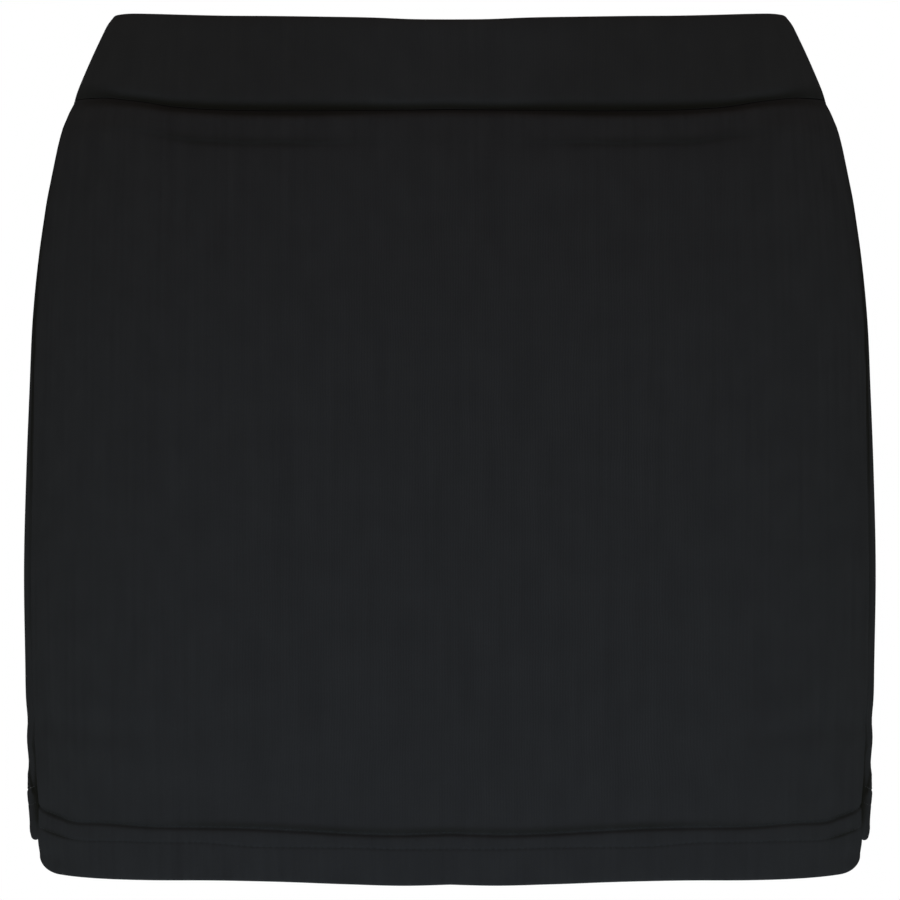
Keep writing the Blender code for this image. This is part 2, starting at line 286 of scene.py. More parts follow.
def cloth_sheet(name, points, across, material, thickness, closed_from=None, marks=(), down=None):
    """A sheet of cloth through a grid of points, columns first. Its thickness lies behind its face.

    Across and down say where each point lies on the flat cloth. From the row closed_from on, the last
    column is the first one. Marks are named grids of 0 to 1."""
    down = run_along(points, 1) if down is None else down
    uv = np.stack(np.broadcast_arrays(across, -down), axis=-1)
    columns, rows = points.shape[:2]
    own = np.arange(columns * rows).reshape(columns, rows)
    number = own.copy()
    if closed_from is not None:
        number[-1, closed_from:] = number[0, closed_from:]

    def corners(grid):
        return np.stack((grid[:-1, :-1], grid[:-1, 1:], grid[1:, 1:], grid[1:, :-1]), axis=-1).reshape(-1, 4)

    used, faces = np.unique(corners(number), return_inverse=True)
    mesh = bpy.data.meshes.new(name)
    mesh.from_pydata(points.reshape(-1, 3)[used].tolist(), [], faces.reshape(-1, 4).tolist())
    layer = mesh.uv_layers.new(name="cloth")
    layer.data.foreach_set("uv", uv.reshape(-1, 2)[corners(own).ravel()].ravel())
    for mark, grid in marks:
        values = np.broadcast_to(grid, (columns, rows)).reshape(-1)[used].astype(np.float32)
        mesh.attributes.new(mark, "FLOAT", "POINT").data.foreach_set("value", values)
    mesh.materials.append(material)
    piece = new_object(name, mesh)
    shell = piece.modifiers.new("thickness", "SOLIDIFY")
    shell.thickness = thickness
    shell.offset = -1.0
    shell.use_even_offset = True
    shell.use_quality_normals = True
    piece.select_set(True)
    bpy.context.view_layer.objects.active = piece
    bpy.ops.object.modifier_apply(modifier=shell.name)
    bpy.ops.object.shade_smooth_by_angle(angle=math.radians(55))
    piece.select_set(False)
    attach(piece, "root")
    return piece


STITCH_PITCH = 0.0029
COURSES = 1900.0  # rows of loops per metre
LOOP_HEIGHT = 0.00012
# Painted shade: this colour is mixed into the cloth where shade falls, in and beside the seams, by the
# vents, along the hem stitching and in needle holes.
SHADE = (0.0052, 0.0045, 0.0034, 1.0)  # of the cloth where it lies shut in


def fill(tree, node, inputs):
    """Give a shader node's inputs their values, or links from other nodes' outputs."""
    for name, value in inputs.items():
        if isinstance(value, bpy.types.NodeSocket):
            tree.links.new(value, node.inputs[name])
        else:
            node.inputs[name].default_value = value


def add_node(tree, kind, inputs, **settings):
    """A new shader node with its settings and inputs."""
    node = tree.nodes.new("ShaderNode" + kind)
    for name, value in settings.items():
        setattr(node, name, value)
    fill(tree, node, inputs)
    return node


def mixed(tree, share, first, second):
    """A colour between two others."""
    node = add_node(tree, "Mix", {"Factor": share, "A": first, "B": second}, data_type="RGBA")
    return node.outputs["Result"]


def new_material(name):
    """A material with its own nodes, and their tree."""
    material = bpy.data.materials.new(name)
    material.use_nodes = True
    return material, material.node_tree


def knit_group():
    """Shared knit effect, on a cloth's own UV in metres: the loops' height, an uneven tone from 0 to 1 with
    painted shade in the gaps between the loops, and a spot for each needle hole along a row of stitching."""
    group = bpy.data.node_groups.new("knit", "ShaderNodeTree")
    group.interface.new_socket("Cloth", in_out="INPUT", socket_type="NodeSocketVector")
    for name, way in (("Wales per metre", "INPUT"), ("Streaks", "INPUT"),
                      ("Loops", "OUTPUT"), ("Tone_and_loop_shade", "OUTPUT"), ("Holes", "OUTPUT")):
        group.interface.new_socket(name, in_out=way, socket_type="NodeSocketFloat")
    given = group.nodes.new("NodeGroupInput").outputs

    def calc(operation, first, second=0.0, clamp=False):
        node = add_node(group, "Math", {0: first, 1: second}, operation=operation, use_clamp=clamp)
        return node.outputs[0]

    def noise(scale_u, scale_v, detail):
        stretch = add_node(group, "VectorMath", {0: given["Cloth"], 1: (scale_u, scale_v, 1.0)},
                           operation="MULTIPLY")
        texture = add_node(group, "TexNoise", {"Scale": 1.0, "Detail": detail, "Vector": stretch.outputs[0]},
                           noise_dimensions="2D")
        return texture.outputs["Fac"]

    parts = add_node(group, "SeparateXYZ", {0: given["Cloth"]}).outputs
    drift = calc("MULTIPLY", noise(60.0, 30.0, 2.0), 1.6)
    wale = calc("ADD", calc("MULTIPLY", parts[0], given["Wales per metre"]), drift)
    across = calc("ABSOLUTE", calc("SUBTRACT", calc("FRACT", wale), 0.5))
    leg = calc("ADD", calc("MULTIPLY", parts[1], COURSES), calc("MULTIPLY", across, 1.5))
    loop = calc("SINE", calc("MULTIPLY", leg, 2 * math.pi))
    ridge = calc("SUBTRACT", 1.0, calc("POWER", calc("MULTIPLY", across, 2.0), 2.5))
    height = calc("MULTIPLY", ridge, calc("ADD", 0.72, calc("MULTIPLY", loop, 0.28)))

    streak = calc("MULTIPLY", calc("SUBTRACT", noise(420.0, 9.0, 3.0), 0.5), given["Streaks"])
    mottle = calc("SUBTRACT", noise(75.0, 60.0, 4.0), 0.5)
    tone = calc("ADD", 0.5, calc("ADD", calc("MULTIPLY", streak, 2.2), mottle))
    # Painted shade: the tone is darker in the gaps between the loops.
    gap = calc("MULTIPLY", calc("SUBTRACT", height, 0.6), 0.35)

    along = calc("FRACT", calc("MULTIPLY", parts[0], 1.0 / STITCH_PITCH))
    spot = calc("MULTIPLY", calc("ABSOLUTE", calc("SUBTRACT", along, 0.5)), -8.0)
    spot = calc("ADD", spot, 2.2, clamp=True)
    tone = calc("ADD", tone, gap)
    fill(group, group.nodes.new("NodeGroupOutput"), {"Loops": height, "Tone_and_loop_shade": tone, "Holes": spot})
    return group


KNIT = knit_group()


def jersey(name, dark, light, wales=1450.0, streaks=0.5, bump=0.5):
    """Black cotton and elastane knit: loops in the bump, a tone wandering between two near blacks, and
    painted shade.
    """
    material, tree = new_material(name)
    cloth = add_node(tree, "UVMap", {}, uv_map="cloth").outputs["UV"]
    knit = add_node(tree, "Group", {"Cloth": cloth, "Wales per metre": wales, "Streaks": streaks},
                    node_tree=KNIT).outputs
    painted_shade, needle_hole_shade = (add_node(tree, "Attribute", {}, attribute_name=mark).outputs["Fac"]
                       for mark in ("painted_shade", "needle_hole_shade"))
    # Painted shade: the base colour is mixed toward SHADE where the cloth's marks call for shade and at the
    # needle holes.
    painted_shade_amount = add_node(tree, "Math", {0: needle_hole_shade, 1: knit["Holes"], 2: painted_shade}, operation="MULTIPLY_ADD",
                       use_clamp=True).outputs[0]
    rough = add_node(tree, "MapRange", {"Value": knit["Loops"], "To Min": 0.92, "To Max": 0.78})
    relief = add_node(tree, "Bump", {"Strength": bump, "Distance": LOOP_HEIGHT, "Height": knit["Loops"]})
    tone = mixed(tree, knit["Tone_and_loop_shade"], dark, light)
    fill(tree, tree.nodes["Principled BSDF"], {
        "Base Color": mixed(tree, painted_shade_amount, tone, SHADE), "Roughness": rough.outputs["Result"],
        "Normal": relief.outputs["Normal"], "Specular IOR Level": 0.0, "Sheen Weight": 0.002,
        "Sheen Roughness": 0.5})
    return material


BAND_DARK = (0.0118, 0.0109, 0.0108, 1.0)
BAND_LIGHT = (0.0144, 0.0133, 0.013, 1.0)
# Painted shade on the band where it turns to the sides.
BAND_SHADE = 0.1  # how much darker the band is where it turns to the sides
band_jersey = jersey("waistband_jersey", BAND_DARK, BAND_LIGHT, wales=1500.0, streaks=0.35, bump=0.4)
EDGE_STEPS = (0.0, 0.00012, 0.0003, 0.00055, 0.0009, 0.0014, 0.0022, 0.0034)


def between(start, end, count):
    """Rows of heights strictly between two others."""
    return blend(start, end, np.linspace(0.0, 1.0, count + 2)[None, 1:-1])


def make_waistband(side):
    """The front or back of the band: up its inner layer, over the folded edge and down its outer layer."""
    width = float(panel_width(side, WAIST_SEAM))
    shares = column_shares(width, 0.003, EDGE_STEPS)[:, None]
    top = band_top_height(side, shares)
    seam = seam_height(side, shares) + WAIST_GAP / 2
    folds = np.linspace(0.0, math.pi, 9)[None]
    near = np.array((0.0, 0.4, 0.9, 1.5, 2.2, 3.0, 4.0, 5.2))[None] * MM
    straight_top = top - BAND_FOLD_RADIUS
    inner = blend(seam + 0.0004, straight_top, np.linspace(0.0, 1.0, 15)[None, :-1] ** 1.4)
    lean = blend(BAND_TOP_ROLL, BAND_TOP_ROLL_SIDE, ramp(0.7, 0.95, toward_seam(shares)))
    fold_end = lean + 2 * BAND_FOLD_RADIUS - BAND_INNER_INSET
    inner_inset = BAND_INNER_INSET + roll(straight_top - inner, fold_end, TOP_ROLL_LENGTH)
    inner_inset = inner_inset + seam_roll(side, shares, inner - seam, 0.75)
    fold = top - BAND_FOLD_RADIUS * (1 - np.sin(folds))
    fold_inset = lean + BAND_FOLD_RADIUS * (1 + np.cos(folds))
    outer_high = straight_top - near[:, 1:]
    outer_low = seam + near[:, ::-1]
    outer = np.hstack((outer_high, between(outer_high[:, -1:], outer_low[:, :1], 12), outer_low))
    outer_inset = roll(straight_top - outer, lean, TOP_ROLL_LENGTH)
    outer_inset = outer_inset + seam_roll(side, shares, outer - seam)
    height = np.hstack((inner, fold, outer, seam))
    inset = np.hstack((inner_inset, fold_inset, outer_inset, seam_roll(side, shares, 0.0 * shares) + 0.0003))
    away = np.minimum(shares, 1 - shares) * width
    u = (shares - 0.5) * panel_width(side, height)
    uneven = 0.00022 * ramp(0.0, 0.02, away) * waves(u, height, 11 + len(side), 0.09, 0.06)
    inset = inset + turned_in(away) + uneven
    points, _ = panel_grid(side, shares, height, inset, SEAM_GAP / 2)
    # Painted shade beside the waist seam and on the band's sides.
    shade = furrow_shade(shares, height - seam) + BAND_SHADE * ramp(0.06, 0.3, toward_seam(shares))
    return cloth_sheet("waistband_%s_cloth" % side, points, u, band_jersey, BAND_CLOTH,
                       marks=[("painted_shade", np.minimum(1.0, shade))])


# Each half is cut 98 mm deep: twice the 41 mm that shows, and 8 mm for each of its two sewn edges.
for side in ("front", "back"):
    piece = make_waistband(side)
    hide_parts("waistband_" + side)


# ---- Skirt ----
# A front and a back panel of the same jersey, close over the hips, with a vent at the foot of each side
# seam. The waist edge is turned down inside, and the hem is turned up 25 mm under two rows of stitching.

SKIRT_CLOTH = 0.0008
SKIRT_FOLD_RADIUS = 0.00085
SKIRT_TOP_FOLD = 0.0004  # height of the fold at the waist, which the seam pulls tight
ALLOWANCE_HEIGHT = 0.0145  # the seam allowance shows as a faint ledge this far below the seam
ALLOWANCE_RELIEF = 0.00035
VENT_TOP = -0.3105
BACK_HEM = -0.3575
HEM_CORNER_RISE = 0.008
HEM_CORNER_LENGTH = 0.0185
HEM_TURN = 0.0245  # depth of the turned-up hem
BACK_ROWS = {"upper": 0.0223, "lower": 0.0153}  # the back's stitching, above its hem
ROW_RISE = 0.004  # how far the back's rows lift at the vents
VENT_SPREAD = 0.0015
VENT_FLARE = 0.001
VENT_LEAN = 0.0017  # how far the front's edges lean in at the hem
UPPER_GROOVE = 0.0006  # how deep the stitching sinks
LOWER_GROOVE = 0.00018
HEM_STEP = 0.00022  # how far the double cloth stands proud below the stitching
# The tuck on the back panel above a vent is only painted shade: its foot and head, as distance from the edge
# and height.
TUCK_FOOT = (0.006, -0.3352)
TUCK_HEAD = (0.016, -0.326)
TUCK_WIDTH = 0.0033
# The front hem's gentle wave and its two rows of stitching: distance from the centre front, and height.
FRONT_HEM = np.array([
    (0, -368.3), (19, -368.8), (46, -368.3), (76, -367.6), (106, -367.7), (137, -368.7), (165, -369.4),
    (182, -369.6), (215, -369.6)]) * MM
FRONT_ROWS = {"upper": np.array([
    (0, -345.8), (11, -346.2), (22, -346.5), (44, -346.1), (66, -345.1), (89, -344.4), (112, -344.5),
    (136, -345), (166, -344.6), (177, -345.1), (184, -344.9), (191, -343.8), (198.5, -342.8),
    (204.5, -341.8), (208, -340.8), (211.5, -339.7)]) * MM, "lower": np.array([
    (0, -352.5), (22, -352.6), (44, -352.1), (66, -352.1), (89, -352.1), (112, -351), (131, -351.5),
    (146, -351.7), (163, -352.3), (175, -352.8), (183, -352.6), (191, -351.8), (198.5, -350.9), (205, -350),
    (211.5, -349.2)]) * MM}
# Small easings of the side outline: height, and how far in the cloth lies.
SIDE_EASE = np.array([
    (-358, 0.9), (-356.2, 0.8), (-354.5, 0.4), (-350, 0.4), (-345.3, 0.2), (-341, -0.1), (-336.1, -0.4),
    (-330, -0.1), (-326.8, 0), (-324.6, 0.5), (-321, 0.5), (-313.1, 0), (-310.5, 0), (-304, 0.5), (-294, 0),
    (-276, 0), (-100, 0), (-75, 0), (-65.3, 0.1), (-56.1, 0.4), (-46.9, 0.3), (-40, -0.1), (-33.1, -0.4),
    (-28.5, -0.1), (-26.2, 0), (-23.2, 0.4), (-21, 0.4)]) * MM
# The same for the front panel beside its vents.
CORNER_EASE = np.array([
    (-370, 0.3), (-364.1, 0.3), (-361.8, 0.4), (-359.6, 0.1), (-357.3, -0.2), (-354, -0.3), (-348, 0),
    (-330, 0)]) * MM
# Painted shade on a panel beside its seams and vents: height, how strong from 0 to 1, how far from the edge,
# and how wide.
SIDE_SHADE = {
    "back": np.array([
        (-358, 0.2, 0, 6), (-352, 0.3, 0, 6), (-350, 0.5, 0, 7), (-347, 1, 0, 10), (-340, 1, 0, 10),
        (-337, 1, 0, 8), (-332.5, 1, 0, 7), (-330.5, 1, 0, 6), (-328, 1, 0, 4), (-322, 1, 0, 3.4),
        (-317, 0.55, 0, 3.4), (-314.5, 0.8, 1.5, 2.4), (-310, 0.5, 1, 1.5), (-300, 0.05, 0, 1),
        (-275, 0.05, 0, 1), (-257, 0.3, 1, 2.5), (-203, 0.4, 2, 2.5), (-190, 0.75, 2, 2.8),
        (-175, 0.95, 2.8, 3), (-157, 0.95, 2.4, 3), (-148, 0.95, 1.2, 3), (-134.5, 0.85, 0, 2.5),
        (-125, 0.8, 0, 2), (-60, 0.3, 0, 2)]) * (MM, 1, MM, MM),
    "front": np.array([
        (-358, 0.2, 0, 0.8), (-350, 0.5, 0, 0.8), (-347, 1, 0, 0.8), (-318, 1, 0, 0.8), (-312, 0.6, 0, 0.6),
        (-300, 0.05, 0, 0.5), (-190, 0.3, 0, 0.4), (-150, 0.5, 0, 0.5), (-143.6, 0.9, 0, 1.4),
        (-139, 0.9, 1, 2.8), (-134.5, 1, 3.8, 2.6), (-130, 1, 4.2, 2.6), (-121, 0.95, 4.5, 3.8),
        (-112, 0.85, 7.5, 4.5), (-102.7, 0.9, 6, 6), (-93.6, 0.8, 4, 8), (-85, 0.75, 4, 12),
        (-55, 0.65, 4, 13), (-40, 0.3, 4, 12), (-28, 0, 4, 12)]) * (MM, 1, MM, MM)}
SKIRT_DARK = (0.011, 0.0098, 0.0097, 1.0)
SKIRT_LIGHT = (0.0137, 0.0123, 0.0121, 1.0)
skirt_jersey = jersey("skirt_jersey", SKIRT_DARK, SKIRT_LIGHT)


def from_centre(side, share):
    """Distance along the hem from the centre front or back."""
    return np.abs(share - 0.5) * panel_width(side, BACK_HEM)


def from_vent(side, share):
    """Distance along the hem from the nearer vent."""
    return np.minimum(share, 1 - share) * panel_width(side, BACK_HEM)


def hem_line(side, share):
    """Height of the hem before its corners round up."""
    if side == "back":
        return BACK_HEM + 0.0004 * np.sin(share * 9.0)
    return along_curve(FRONT_HEM, from_centre(side, share))


def hem_height(side, share):
    """Height of the hem's folded edge, with its round corners."""
    round_part = np.clip(1 - from_vent(side, share) / HEM_CORNER_LENGTH, 0.0, 1.0)
    return hem_line(side, share) + HEM_CORNER_RISE * (1 - np.sqrt(1 - round_part ** 2))


def row_height(side, share, row):
    """Height of the upper or lower row of hem stitching."""
    if side == "front":
        return along_curve(FRONT_ROWS[row], from_centre(side, share))
    rise = ROW_RISE * np.clip(1 - from_vent(side, share) / 0.024, 0.0, 1.0) ** 2
    return hem_line(side, share) + BACK_ROWS[row] + rise


def above_rows(side, share, height):
    """How far a height lies above the upper and the lower row of hem stitching."""
    return (height - row_height(side, share, row) for row in ("upper", "lower"))


def allowance_ledge(share):
    """How far below the seam the turned-down allowance ends, and how strongly it shows through."""
    away = toward_seam(share)
    end = ALLOWANCE_HEIGHT - 0.0013 * ramp(0.47, 0.56, away)
    return end, 0.28 + 0.72 * ramp(0.12, 0.32, away) * ramp(0.66, 0.47, away)


def hem_strength(side, share):
    """How strongly the hem's rows and turn show: not on the back's strips that come round to the front."""
    return 1.0 if side == "front" else ramp(0.014, 0.034, from_vent(side, share))


def side_ease(side, height):
    """The small easing of the side outline at a height."""
    ease = along_curve(SIDE_EASE, height)
    return ease if side == "back" else np.where(height > VENT_TOP, ease, along_curve(CORNER_EASE, height))


def skirt_relief(side, share, height):
    """How far in the skirt's outer face lies from the worn outline."""
    away = from_vent(side, share)
    u = (share - 0.5) * panel_width(side, height)
    below = seam_height(side, share) - WAIST_GAP / 2 - height
    end, strength = allowance_ledge(share)
    edge = end + 0.0003 * np.sin(u * 190)
    ledge = ramp(0.001, 0.004, below) * ramp(edge + 0.0008, edge - 0.001, below)
    relief = seam_roll(side, share, 1.5 * below) - ALLOWANCE_RELIEF * strength * ledge
    relief += 0.00016 * strength * bell(below - edge, 0.0006)
    upper, lower = above_rows(side, share, height)
    rows = UPPER_GROOVE * np.exp(-(np.abs(upper) / 0.001) ** 1.6) + LOWER_GROOVE * bell(lower, 0.0006)
    relief += hem_strength(side, share) * (rows - HEM_STEP * ramp(0.0004, -0.0012, upper))
    flare = VENT_FLARE if side == "front" else -0.5 * VENT_FLARE
    relief -= flare * ramp(0.021, 0.0, away) * ramp(VENT_TOP, VENT_TOP - 0.02, height)
    reach = np.where(height < VENT_TOP, 0.03 if side == "front" else 0.08, 0.1)
    relief += side_ease(side, height) * ramp(1.1 * reach, 0.5 * reach, away)
    calm = ramp(0.0, 0.03, away) * ramp(0.0, 0.03, below)
    relief += 0.00028 * calm * waves(u, height, 21 + len(side), 0.11, 0.3)
    return relief


def skirt_marks(side, share, height):
    """How much painted shade a skirt panel gets at its seams, ledge and stitching, and where the needle
    holes show.
    """
    away = from_vent(side, share)
    above = height - seam_height(side, share)
    upper, lower = above_rows(side, share, height)
    shade = furrow_shade(share, above)
    end, strength = allowance_ledge(share)
    # Painted shade along the ledge where the turned-down allowance ends.
    shade += 0.55 * (strength - 0.15) * bell(above + end - 0.0002, 0.0021)
    # Painted shade along the hem's two rows of stitching.
    rows = (0.32 + 0.08 * np.sin(share * 55.0)) * bell(upper - 0.0004, 0.0014)
    rows += 0.45 * ramp(0.045, 0.13, away) * bell(upper - 0.0019, 0.0013)
    rows += 0.3 * ramp(0.03, 0.016, away) * bell(upper - 0.0003, 0.0009)
    rows *= 0.45 + 0.55 * ramp(0.003, 0.01, away)
    rows += 0.6 * ramp(0.034, 0.018, away) * ramp(0.003, 0.009, away) * bell(lower, 0.0009)
    shade += hem_strength(side, share) * rows
    # Painted shade beside the side seams and in the vents.
    strength, place, width = columns_at(SIDE_SHADE[side], height)
    shade += strength * bell(away - place, width)
    if side == "back":
        # Painted shade of a tuck above the vent.
        (foot, low), (head, high) = TUCK_FOOT, TUCK_HEAD
        tuck_shade = ramp(low - 0.0013, low + 0.0007, height) * ramp(high + 0.0012, high - 0.0002, height)
        shade += tuck_shade * bell(away - np.interp(height, (low, high), (foot, head)), TUCK_WIDTH)
    # Painted shade in the lower row's needle holes.
    holes = 0.34 * ramp(0.01, 0.02, away) * bell(lower, 0.0006)
    return [("painted_shade", np.minimum(1.0, shade)), ("needle_hole_shade", holes)]


def vent_clearance(side, height, hem):
    """From the side seam's line to a panel's edge: half the seam's gap, and more beside the vent."""
    down = np.clip((VENT_TOP - height) / (VENT_TOP - hem), 0.0, 1.0)
    lean = VENT_LEAN * ramp(0.74, 1.0, down) if side == "front" else 0.0
    spread = VENT_SPREAD * np.sin((1.0 if side == "front" else 0.85) * math.pi * down ** 0.7)
    return SEAM_GAP / 2 + spread + lean


def make_skirt(side):
    """A skirt panel: up its waist allowance, over the seam, down the outer face, and up the turned hem."""
    width = float(panel_width(side, BACK_HEM))
    corner = HEM_CORNER_LENGTH * (1 - np.sin(np.linspace(math.pi / 2, 0.0, 12)))
    steps = np.unique(np.round(np.concatenate((EDGE_STEPS, corner[corner > 0.0042])), 6))
    shares = column_shares(width, 0.0029, steps)[:, None]
    radius = SKIRT_FOLD_RADIUS
    seam = seam_height(side, shares) - WAIST_GAP / 2
    hem = hem_height(side, shares)
    upper, lower = (row_height(side, shares, row) for row in ("upper", "lower"))
    folds = np.linspace(0.0, math.pi, 8)[None]

    allowance = seam - radius - MM * np.array((10, 8, 6, 4.5, 3, 1.5))[None]
    allowance_inset = 2 * radius + seam_roll(side, shares, seam - allowance) + 0.0001
    top_fold = seam - SKIRT_TOP_FOLD * (1 - np.sin(folds))
    top_inset = seam_roll(side, shares, 0.0 * shares) + radius * (1 + np.cos(folds))
    below = (0.6, 1.2, 2, 3, 4.2, 6, 8, 10, 11.5, 12.2, 12.8, 13.4, 14, 14.7, 16, 18)
    first = seam - radius - MM * np.array(below)[None]
    upper_rows = upper + MM * np.array((4, 2.6, 1.8, 1.2, 0.8, 0.4, 0, -0.4, -0.8, -1.2, -2))[None]
    lower_rows = lower + MM * np.array((2, 1.2, 0.7, 0.3, 0, -0.3, -0.7, -1.2, -2))[None]
    body = between(first[:, -1:], upper_rows[:, :1], 100)
    middle = between(upper_rows[:, -1:], lower_rows[:, :1], 1)
    last = between(lower_rows[:, -1:], hem + radius, 6)
    outer = np.hstack((first, body, upper_rows, middle, lower_rows, last))
    hem_fold = hem + radius * (1 - np.sin(folds))
    hem_inset = radius * (1 - np.cos(folds)) + 0 * hem
    turned = upper + HEM_TURN - BACK_ROWS["upper"]
    turned = np.hstack((between(hem_fold[:, -1:], turned, 9), turned))
    height = np.hstack((allowance, top_fold, outer, hem_fold, turned))

    relief = skirt_relief(side, shares, outer)
    at_hem = skirt_relief(side, shares, hem + radius)
    turned_relief = skirt_relief(side, shares, turned) + 2 * radius
    inset = np.hstack((allowance_inset, top_inset, relief, hem_inset + at_hem, turned_relief))
    inset = inset + turned_in(np.minimum(shares, 1 - shares) * width)
    points, u = panel_grid(side, shares, height, inset, vent_clearance(side, height, hem))
    down = run_along(points, 1)
    down = down - down[:, [allowance.shape[1] + folds.size - 1]] - seam
    return cloth_sheet("skirt_%s_cloth" % side, points, u, skirt_jersey, SKIRT_CLOTH, down=down,
                       marks=skirt_marks(side, shares, height))


# Sewing thread: short stitches of black polyester, a touch glossier than the knit.
THREAD_DARK = (0.007, 0.0066, 0.0065, 1.0)
THREAD_LIGHT = (0.0098, 0.0093, 0.0091, 1.0)
THREAD, tree = new_material("sewing_thread")
place = add_node(tree, "TexCoord", {}).outputs["Object"]
strands = add_node(tree, "TexNoise", {"Scale": 2600.0, "Detail": 2.0, "Vector": place}).outputs["Fac"]
relief = add_node(tree, "Bump", {"Strength": 0.5, "Distance": 0.00006, "Height": strands}).outputs["Normal"]
fill(tree, tree.nodes["Principled BSDF"], {
    "Base Color": mixed(tree, strands, THREAD_DARK, THREAD_LIGHT), "Normal": relief,
    "Roughness": 0.6, "Specular IOR Level": 0.05})
STITCH_LENGTH = 0.0023
STITCH_RADIUS = 0.00019
STITCH_TIP = 0.18  # share of a stitch's length that each thin end takes


def stitch_form():
    """One stitch, along X from 0 to 1 and its real size across: humped, with thin ends sunk in the cloth.

    Its points, and its faces as lists of their numbers."""
    bpy.ops.mesh.primitive_cylinder_add(vertices=6, radius=STITCH_RADIUS, depth=1 - 2 * STITCH_TIP,
                                        rotation=(0.0, math.pi / 2, 0.0))
    form = bpy.context.active_object
    bpy.ops.object.transform_apply(location=False, rotation=True, scale=False)
    bpy.ops.object.mode_set(mode="EDIT")
    bpy.ops.mesh.select_all(action="SELECT")
    bpy.ops.mesh.bisect(plane_co=(0.0, 0.0, 0.0), plane_no=(1.0, 0.0, 0.0))
    bpy.ops.transform.translate(value=(0.0, 0.0, 0.35 * STITCH_RADIUS))
    bpy.ops.mesh.select_mode(type="FACE")
    for way in (-1.0, 1.0):
        bpy.ops.mesh.select_all(action="DESELECT")
        bpy.ops.object.mode_set(mode="OBJECT")
        for face in form.data.polygons:
            face.select = face.normal.x * way > 0.9
        bpy.ops.object.mode_set(mode="EDIT")
        step = (way * STITCH_TIP, 0.0, -1.3 * STITCH_RADIUS)
        bpy.ops.mesh.extrude_region_move(TRANSFORM_OT_translate={"value": step})
        bpy.ops.transform.resize(value=(1.0, 0.35, 0.35), center_override=(way / 2, 0.0, step[2]))
    bpy.ops.object.mode_set(mode="OBJECT")
    points = np.array([vertex.co for vertex in form.data.vertices]) + (0.5, 0.0, 0.0)
    faces = [list(face.vertices) for face in form.data.polygons]
    bpy.data.objects.remove(form)
    return points, faces


STITCH_POINTS, STITCH_FACES = stitch_form()


def stitches(name, rows):
    """Rows of copies of the stitch. A row is their starts and ends on the cloth, and the way out of it."""
    starts, ends, outward = (np.vstack(part) for part in zip(*rows))
    run = ends - starts
    across = np.cross(outward, run)
    across /= np.linalg.norm(across, axis=1, keepdims=True)
    outward = np.cross(run, across) / np.linalg.norm(run, axis=1, keepdims=True)
    turned = np.stack((run, across, outward), axis=1)
    points = starts[:, None] + STITCH_POINTS @ turned
    copies = range(0, points[..., 0].size, len(STITCH_POINTS))
    mesh = bpy.data.meshes.new(name)
    mesh.from_pydata(points.reshape(-1, 3).tolist(), [],
                     [[first + corner for corner in face] for first in copies for face in STITCH_FACES])
    mesh.materials.append(THREAD)
    mesh.shade_smooth()
    piece = new_object(name, mesh)
    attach(piece, "root")
    return piece


def row_of_stitches(path, off_cloth):
    """A row of stitches for a dense path on the cloth and the same path a little off it."""
    run = run_along(path)
    places = np.arange(0.001, run[-1] - STITCH_PITCH, STITCH_PITCH)
    return [points_at(places + step, run, line)
            for step, line in ((0.0, path), (STITCH_LENGTH, path), (0.0, off_cloth - path))]


def hem_row(side, row, lift, sunk):
    """A row of stitching round a skirt panel's hem, sunk by a share of the thread's radius."""
    shares = np.linspace(0.004, 0.996, 900)
    height = row_height(side, shares, row) + lift
    relief = skirt_relief(side, shares, height)
    clearance = vent_clearance(side, height, hem_height(side, shares))
    return row_of_stitches(*(panel_grid(side, shares, height, relief + sink, clearance)[0]
                             for sink in (sunk * STITCH_RADIUS, -0.001)))


# The front is cut 384 mm deep and the back 373 mm: what shows, 10 mm for the waist seam and 25 mm for the
# hem. The back is the wider of the two, 593 mm at the seat, because the side seams lie forward.
for side in ("front", "back"):
    piece = make_skirt(side)
    rows = hem_row(side, "upper", 0.0007, 0.1), hem_row(side, "lower", 0.0003, 0.9)
    thread = stitches("skirt_%s_hem_stitches" % side, rows)
    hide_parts("skirt_" + side)


# ---- Inner shorts ----
# Two legs of the same jersey, joined by a seam down the centre front, under the crotch and up the centre
# back. Each leg has one inseam, and a hem turned up 20 mm under twin-needle stitching.

SHORTS_CLOTH = 0.0008
SHORTS_INSET = 0.005
SHORTS_TOP_INSET = 0.0049
SHORTS_HEM = -0.3395
SHORTS_HEM_TURN = 0.02
RISE_CURVE_TOP = -0.165  # from here down the centre seams curve in to the crotch
CROTCH = -0.2225
CROTCH_BACK = 0.008  # how far behind the widest line it lies
LEG_HEM_GAP = 0.022  # between the two legs at their hems
LEG_TAPER_FRONT = 0.06  # how much flatter a leg is there, in front
LEG_TAPER_BACK = 0.16  # and behind
LEG_STEPS = 400
SHORTS_ROWS = ((0.019, 0.00035), (0.013, 0.00018))  # stitching: height above the hem, and how deep
MIRROR = {"left": np.ones(3), "right": np.array((-1.0, 1.0, 1.0))}
SHORTS_DARK = (0.0106, 0.0098, 0.0097, 1.0)
SHORTS_LIGHT = (0.0132, 0.0122, 0.012, 1.0)
shorts_jersey = jersey("shorts_jersey", SHORTS_DARK, SHORTS_LIGHT)


def hip_row(level, shares, inset):
    """A row round the left half of the hips: from the centre front by the side to the centre back."""
    waist = WAIST_SEAM - SEAM_GAP / 2
    dip = ramp(RISE_CURVE_TOP, waist, level)
    front, back = (panel_width(side, level) / 2 for side in ("front", "back"))
    place = shares * (front + back)
    halves = [on_body(side, share, level + dip * (seam_height(side, share) - WAIST_SEAM), inset)
              for side, share in (("front", 0.5 + 0.5 * np.minimum(1.0, place / front)),
                                  ("back", np.maximum(0.0, (place - front) / back) / 2))]
    return np.where((place <= front)[:, None], *halves)


